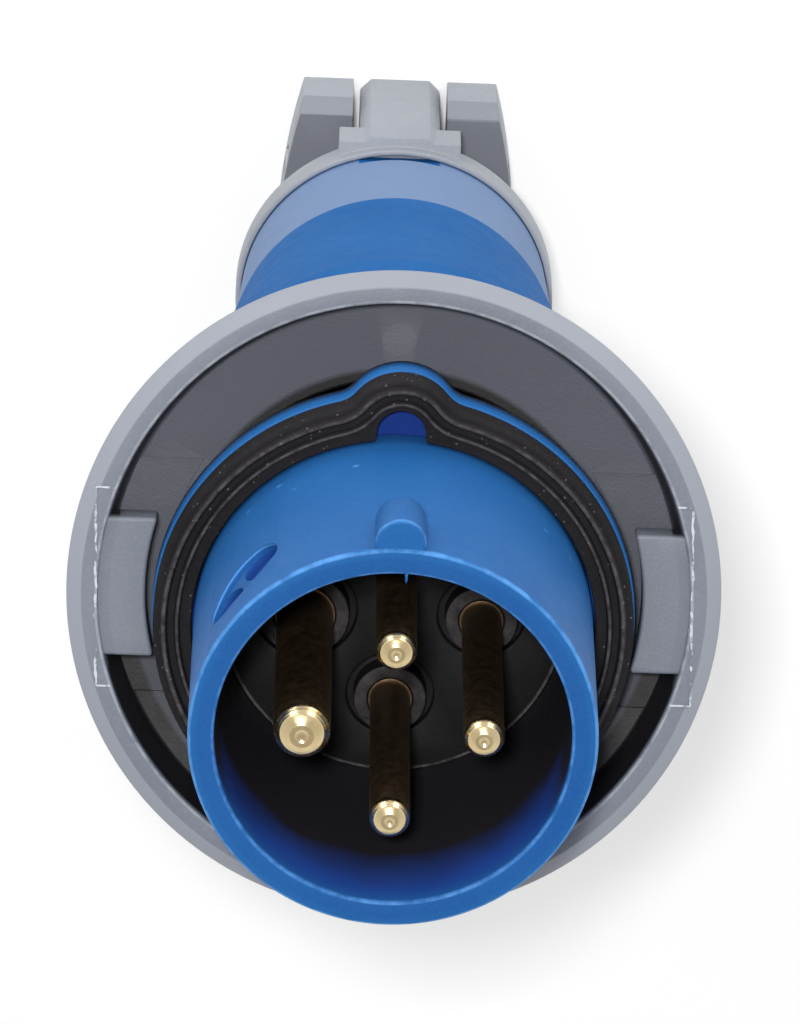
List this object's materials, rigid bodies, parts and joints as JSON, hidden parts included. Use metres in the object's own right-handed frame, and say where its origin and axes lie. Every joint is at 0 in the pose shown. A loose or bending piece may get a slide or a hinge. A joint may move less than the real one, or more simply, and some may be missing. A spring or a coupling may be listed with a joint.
{
  "type": "pin and sleeve plug",
  "caption": "Watertight pin and sleeve plug: round pins in a keyed sleeve, face gasket, turning bayonet ring, tapered rear body and cord clamp.",
  "frame": {"origin": "on the plug's axis at its rear end, where the plug stands", "axes": "+Z along the plug's axis towards the mouth of the sleeve, the sleeve's key on the -Y side, the earth pin on the +X side"},
  "size_m": [0.082, 0.0803, 0.173],
  "materials": {
    "blue_plastic": "moulded, semi-gloss",
    "grey_plastic": "moulded, fine satin",
    "black_plastic": "moulded, satin",
    "black_rubber": "matte",
    "pin_brass": "turned",
    "screw_steel": "plated"
  },
  "bodies": {
    "plug": {"sleeve_housing": "blue_plastic", "contact_carrier": "black_plastic", "earth_pin": "pin_brass", "line_pin_1": "pin_brass", "line_pin_2": "pin_brass", "line_pin_3": "pin_brass", "terminal_screws": "screw_steel", "carrier_screws": "screw_steel", "gasket": "black_rubber", "rear_body": "blue_plastic", "body_seal": "black_rubber", "body_lock_screw": "screw_steel", "rear_collar": "grey_plastic", "collar_screws": "screw_steel", "cord_grommet": "black_rubber", "grip_washer": "black_plastic"},
    "ring": {"locking_ring": "grey_plastic"},
    "jaw_left": {"clamp_jaw_left": "grey_plastic", "clamp_screws": "screw_steel", "clamp_washers": "screw_steel"},
    "jaw_right": {"clamp_jaw_right": "grey_plastic", "clamp_nuts": "screw_steel"}
  },
  "joints": [
    {"name": "ring_turn", "type": "hinge", "parent": "plug", "child": "ring", "pos_m": [0, 0, 0.1225], "axis": [0, 0, 1], "range_deg": [0, 45]},
    {"name": "jaw_left_close", "type": "slide", "parent": "plug", "child": "jaw_left", "axis": [-1, 0, 0], "range_m": [0, 0.0007]},
    {"name": "jaw_right_close", "type": "slide", "parent": "plug", "child": "jaw_right", "axis": [1, 0, 0], "range_m": [0, 0.0007]}
  ],
  "couplings": [
    {"joint": "jaw_right_close", "follows": "jaw_left_close", "ratio": 1}
  ]
}
